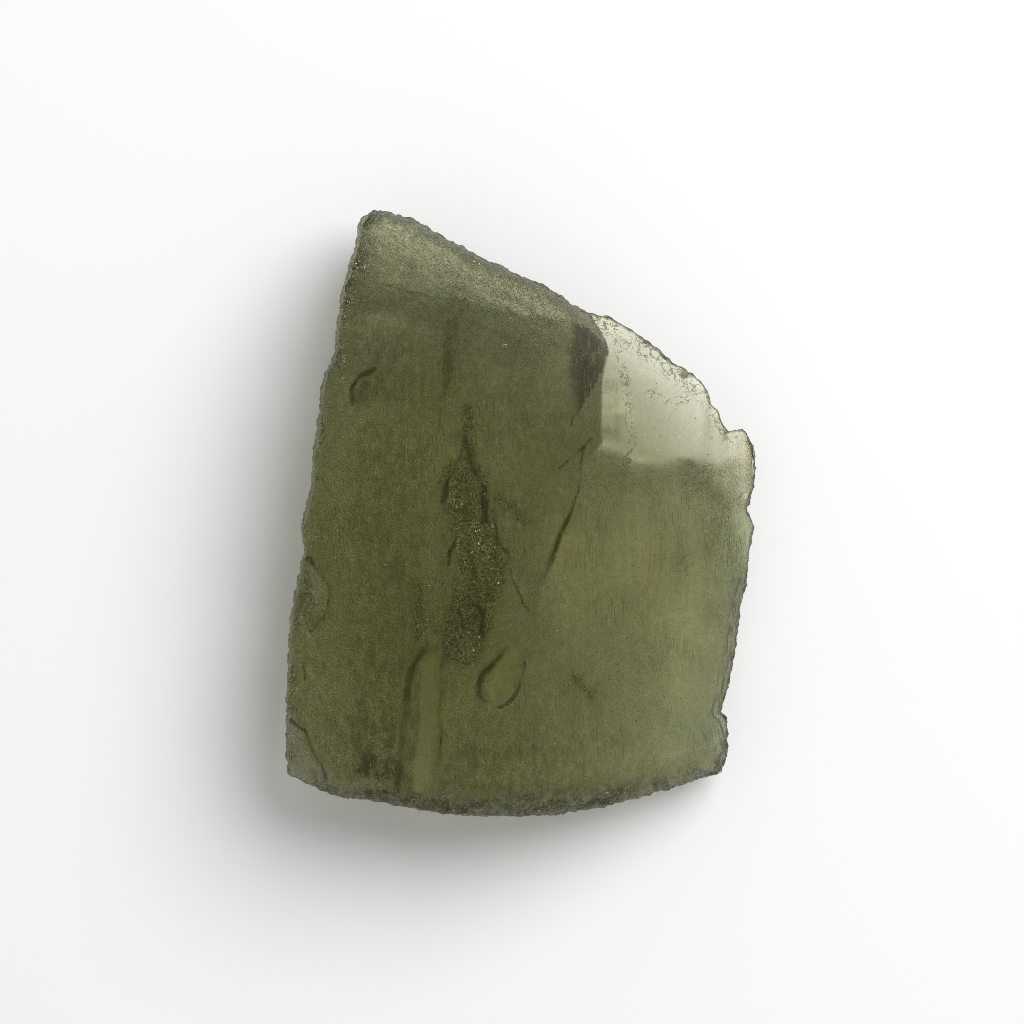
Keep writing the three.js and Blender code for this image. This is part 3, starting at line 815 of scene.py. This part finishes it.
def skin_attribute(name):
    return add_node(
        skin_tree, "GeometryNodeInputNamedAttribute", {"Name": name}, data_type="FLOAT",
    ).outputs["Attribute"]


def drawn_place(size, length):
    """The place on the stone in grains of a size, drawn out along the flow lines."""
    reach = add_node(skin_tree, "ShaderNodeCombineXYZ", {0: size, 1: length, 2: size}).outputs[0]
    grains = add_node(skin_tree, "ShaderNodeVectorMath", {0: position, 1: reach}, operation="DIVIDE")
    moved = add_node(
        skin_tree, "ShaderNodeVectorMath", {0: grains.outputs[0], 1: given["Seed"]}, operation="ADD",
    )
    return moved.outputs[0]


def skin_noise(size, length, detail):
    """Noise from about -1 to 1. The texture itself stays within a quarter of its middle."""
    texture = add_node(skin_tree, "ShaderNodeTexNoise", {
        "Vector": drawn_place(size, length), "Scale": 1.0, "Detail": detail, "Roughness": 0.55,
    })
    return skin_math("MULTIPLY", skin_math("SUBTRACT", texture.outputs["Fac"], 0.5), 4.0)


etched = skin_math("SUBTRACT", 1.0, skin_attribute("fresh"))
ribs = skin_math("MULTIPLY", skin_noise(given["Rib Spacing"], given["Rib Length"], 3.0), given["Rib Depth"])
pit_cells = add_node(skin_tree, "ShaderNodeTexVoronoi", {
    "Vector": drawn_place(given["Pit Size"], skin_math("MULTIPLY", given["Pit Size"], 1.8)),
    "Scale": 1.0, "Randomness": 1.0,
}, feature="F1")
pit_shape = skin_math("SUBTRACT", 1.0, skin_math("MULTIPLY", pit_cells.outputs["Distance"], 2.6))
has_pit = skin_math("GREATER_THAN", pit_cells.outputs["Color"], 0.62)
pits_cut = skin_math("MULTIPLY", skin_math("MAXIMUM", pit_shape, 0.0), given["Pit Depth"])
pits_cut = skin_math("MULTIPLY", pits_cut, has_pit)
grain_cut = skin_math(
    "MULTIPLY",
    skin_noise(given["Grain Size"], given["Grain Size"], 5.0),
    skin_math("MULTIPLY", given["Grain Depth"], skin_attribute("rough")),
)
skin_depth = skin_math("MULTIPLY", skin_math("SUBTRACT", ribs, pits_cut), etched)
skin_depth = skin_math("ADD", skin_depth, grain_cut)
outward = add_node(skin_tree, "GeometryNodeInputNormal").outputs[0]
step = add_node(
    skin_tree, "ShaderNodeVectorMath", {0: outward, "Scale": skin_depth}, operation="SCALE",
).outputs[0]
moved = add_node(skin_tree, "ShaderNodeVectorMath", {0: position, 1: step}, operation="ADD").outputs[0]

# Nothing sinks below the face that the stone rests on
parts = add_node(skin_tree, "ShaderNodeSeparateXYZ", {0: moved}).outputs
kept_up = add_node(skin_tree, "ShaderNodeCombineXYZ", {
    0: parts[0], 1: parts[1], 2: skin_math("MAXIMUM", parts[2], 0.0),
}).outputs[0]
etched_stone = add_node(skin_tree, "GeometryNodeSetPosition", {
    "Geometry": given["Geometry"], "Position": kept_up,
}).outputs[0]
solid = add_node(skin_tree, "GeometryNodeRealizeInstances", {"Geometry": etched_stone}).outputs[0]
dressed = add_node(skin_tree, "GeometryNodeSetMaterial", {
    "Geometry": solid, "Material": given["Glass"],
}).outputs[0]
add_node(skin_tree, "NodeGroupOutput", {"Geometry": dressed})

etched_mesh = made_on(stone_form, skin_tree, "Glass", glass)
etched_mesh.name = "moldavite_stone"
stone = bpy.data.objects.new("moldavite_stone", etched_mesh)
bpy.context.collection.objects.link(stone)
bpy.data.objects.remove(stone_form)
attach(stone, "root")
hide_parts("moldavite")


# The dust, and painted glints
# White and dark specks and a few curled fibres of lint that lie on the etched face. The specks are dust,
# and the extra ones on rough skin are painted highlights and painted shade for its glinting and shaded
# facets. They are far smaller than the pits, and are scattered by chance.

# The specks run from dark to near white: dust, and painted highlights and painted shade on rough skin
dust_and_glint_white = bpy.data.materials.new("dust_and_glint_white")
dust_and_glint_white.use_nodes = True
lint_fibre = dust_and_glint_white.node_tree
lint_place = add_node(lint_fibre, "ShaderNodeTexCoord").outputs["Object"]
shade = add_node(lint_fibre, "ShaderNodeTexNoise", {
    "Vector": lint_place, "Scale": 9000.0, "Detail": 1.0,
}).outputs["Fac"]
shade = add_node(lint_fibre, "ShaderNodeMapRange", {
    "Value": shade, "From Min": 0.4, "From Max": 0.65,
}).outputs[0]
dust_and_glint_colour = add_node(lint_fibre, "ShaderNodeMix", {
    0: shade, 6: (0.1, 0.1, 0.05, 1), 7: (0.85, 0.82, 0.66, 1),
}, data_type="RGBA").outputs[2]
lint_fibre.links.new(dust_and_glint_colour, lint_fibre.nodes["Principled BSDF"].inputs["Base Color"])
lint_fibre.nodes["Principled BSDF"].inputs["Roughness"].default_value = 0.8

dust_and_glint_tree = new_tree("dust_and_glints", {
    "Specks per Area": 1500000.0, "Extra on Rough Skin": 16.0, "Speck Size": 0.00004,
    "Fibres per Area": 30000.0, "Fibre Curl": 0.0002, "Fibre Thickness": 0.000013,
}, 11, "Lint")

chosen = add_node(dust_and_glint_tree, "NodeGroupInput").outputs
facing = add_node(dust_and_glint_tree, "ShaderNodeSeparateXYZ", {
    0: add_node(dust_and_glint_tree, "GeometryNodeInputNormal").outputs[0],
}).outputs[2]
facing_up = add_node(
    dust_and_glint_tree, "FunctionNodeCompare", {0: facing, 1: 0.4}, operation="GREATER_THAN",
).outputs[0]


def chance(low, high, number):
    """A different vector for each instance, between two."""
    return add_node(dust_and_glint_tree, "FunctionNodeRandomValue", {
        0: low, 1: high, "Seed": number,
    }, data_type="FLOAT_VECTOR").outputs[0]


# Extra specks on rough skin stand in for its glints and shaded facets, as painted highlights and painted
# shade
rough_places = add_node(
    dust_and_glint_tree, "GeometryNodeInputNamedAttribute", {"Name": "rough"}, data_type="FLOAT",
).outputs[0]
on_rough = add_node(dust_and_glint_tree, "ShaderNodeMath", {
    0: rough_places, 1: chosen["Extra on Rough Skin"], 2: 1.0,
}, operation="MULTIPLY_ADD").outputs[0]
specks_per_area = add_node(dust_and_glint_tree, "ShaderNodeMath", {
    0: on_rough, 1: chosen["Specks per Area"],
}, operation="MULTIPLY").outputs[0]


def scattered(per_area, instance, sizes, number):
    """Copies of a shape lying on the face, turned and sized by chance."""
    points = add_node(dust_and_glint_tree, "GeometryNodeDistributePointsOnFaces", {
        "Mesh": chosen["Geometry"], "Selection": facing_up, "Density": per_area, "Seed": chosen["Seed"],
    })
    placed = add_node(dust_and_glint_tree, "GeometryNodeInstanceOnPoints", {
        "Points": points.outputs["Points"], "Instance": instance,
        "Rotation": points.outputs["Rotation"], "Scale": chance(*sizes, number),
    })
    return add_node(dust_and_glint_tree, "GeometryNodeRotateInstances", {
        "Instances": placed.outputs[0], "Rotation": chance((0, 0, 0), (0, 0, math.tau), number + 1),
    }).outputs[0]


speck = add_node(dust_and_glint_tree, "GeometryNodeMeshIcoSphere", {
    "Radius": chosen["Speck Size"], "Subdivisions": 1,
}).outputs["Mesh"]
curl = add_node(dust_and_glint_tree, "GeometryNodeCurveArc", {
    "Resolution": 14, "Radius": chosen["Fibre Curl"], "Sweep Angle": 2.3,
}, mode="RADIUS").outputs["Curve"]
fibre_section = add_node(dust_and_glint_tree, "GeometryNodeCurvePrimitiveCircle", {
    "Resolution": 6, "Radius": chosen["Fibre Thickness"],
}, mode="RADIUS").outputs["Curve"]
fibre = add_node(dust_and_glint_tree, "GeometryNodeCurveToMesh", {
    "Curve": curl, "Profile Curve": fibre_section, "Fill Caps": True,
}).outputs[0]
all_dust = add_node(dust_and_glint_tree, "GeometryNodeJoinGeometry")
for loose in (
    scattered(specks_per_area, speck, ((0.3, 0.3, 0.3), (1.1, 0.7, 0.6)), 3),
    scattered(chosen["Fibres per Area"], fibre, ((0.5, 0.5, 0.8), (1.4, 1.4, 1.0)), 7),
):
    dust_and_glint_tree.links.new(loose, all_dust.inputs[0])
settled = add_node(dust_and_glint_tree, "GeometryNodeRealizeInstances", {"Geometry": all_dust.outputs[0]}).outputs[0]
whitened = add_node(dust_and_glint_tree, "GeometryNodeSetMaterial", {
    "Geometry": settled, "Material": chosen["Lint"],
}).outputs[0]
add_node(dust_and_glint_tree, "NodeGroupOutput", {"Geometry": whitened})

# The dust and the painted glints are scattered on a bed with the stone's own skin, which is then taken away
bed = bpy.data.objects.new("dust_and_glint_bed", etched_mesh)
bpy.context.collection.objects.link(bed)
dust_and_glint_mesh = made_on(bed, dust_and_glint_tree, "Lint", dust_and_glint_white)
bpy.data.objects.remove(bed)
dust_and_glint_mesh.name = "dust_and_glints"
dust_and_glints = bpy.data.objects.new("dust_and_glints", dust_and_glint_mesh)
bpy.context.collection.objects.link(dust_and_glints)
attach(dust_and_glints, "root")


# The table, the light and the camera
# A plain white table that the stone lies on, a soft lamp high at the upper right, and a camera that
# looks straight down.

table_mesh = bpy.data.meshes.new("table")
table_mesh.from_pydata(
    [(x, y, -0.02 * MM) for x, y in ((-3, -3), (3, -3), (3, 3), (-3, 3))], [], [(0, 1, 2, 3)],
)
table = bpy.data.objects.new("table", table_mesh)
bpy.context.collection.objects.link(table)
white_table = bpy.data.materials.new("white_table")
white_table.use_nodes = True
white_table.node_tree.nodes["Principled BSDF"].inputs["Base Color"].default_value = (0.9, 0.9, 0.9, 1)
white_table.node_tree.nodes["Principled BSDF"].inputs["Roughness"].default_value = 1.0
table_mesh.materials.append(white_table)

world = bpy.data.worlds.new("white_room")
world.use_nodes = True
room = world.node_tree
room.nodes["Background"].inputs["Color"].default_value = (1, 1, 1, 1)
room.nodes["Background"].inputs["Strength"].default_value = 0.45
bpy.context.scene.world = world

lamp_data = bpy.data.lights.new("soft_lamp", "AREA")
lamp_data.shape = "DISK"
lamp_data.size = 0.30
lamp_data.energy = 1.25
lamp = bpy.data.objects.new("soft_lamp", lamp_data)
lamp.location = (0.17, 0.17, 0.26)
lamp.rotation_mode = "QUATERNION"
lamp.rotation_quaternion = (-lamp.location).to_track_quat("-Z", "Y")
bpy.context.collection.objects.link(lamp)

# The frame is as wide as the photograph's, where 24 of its 1024 pixels make a millimetre
FRAME_WIDTH = 42.67 * MM
camera_data = bpy.data.cameras.new("camera")
camera_data.sensor_width = 36
camera_data.lens = 300
camera_data.clip_start, camera_data.clip_end = 0.01, 10
camera = bpy.data.objects.new("camera", camera_data)
away = FRAME_WIDTH * camera_data.lens / camera_data.sensor_width
camera.location = (-0.375 * MM, 0.04 * MM, 3 * MM + away)
bpy.context.collection.objects.link(camera)
bpy.context.scene.camera = camera
bpy.context.scene.view_settings.view_transform = "Standard"
bpy.context.scene.cycles.max_bounces = 10
bpy.context.scene.cycles.filter_width = 0.75
bpy.context.scene.cycles.denoising_prefilter = "NONE"
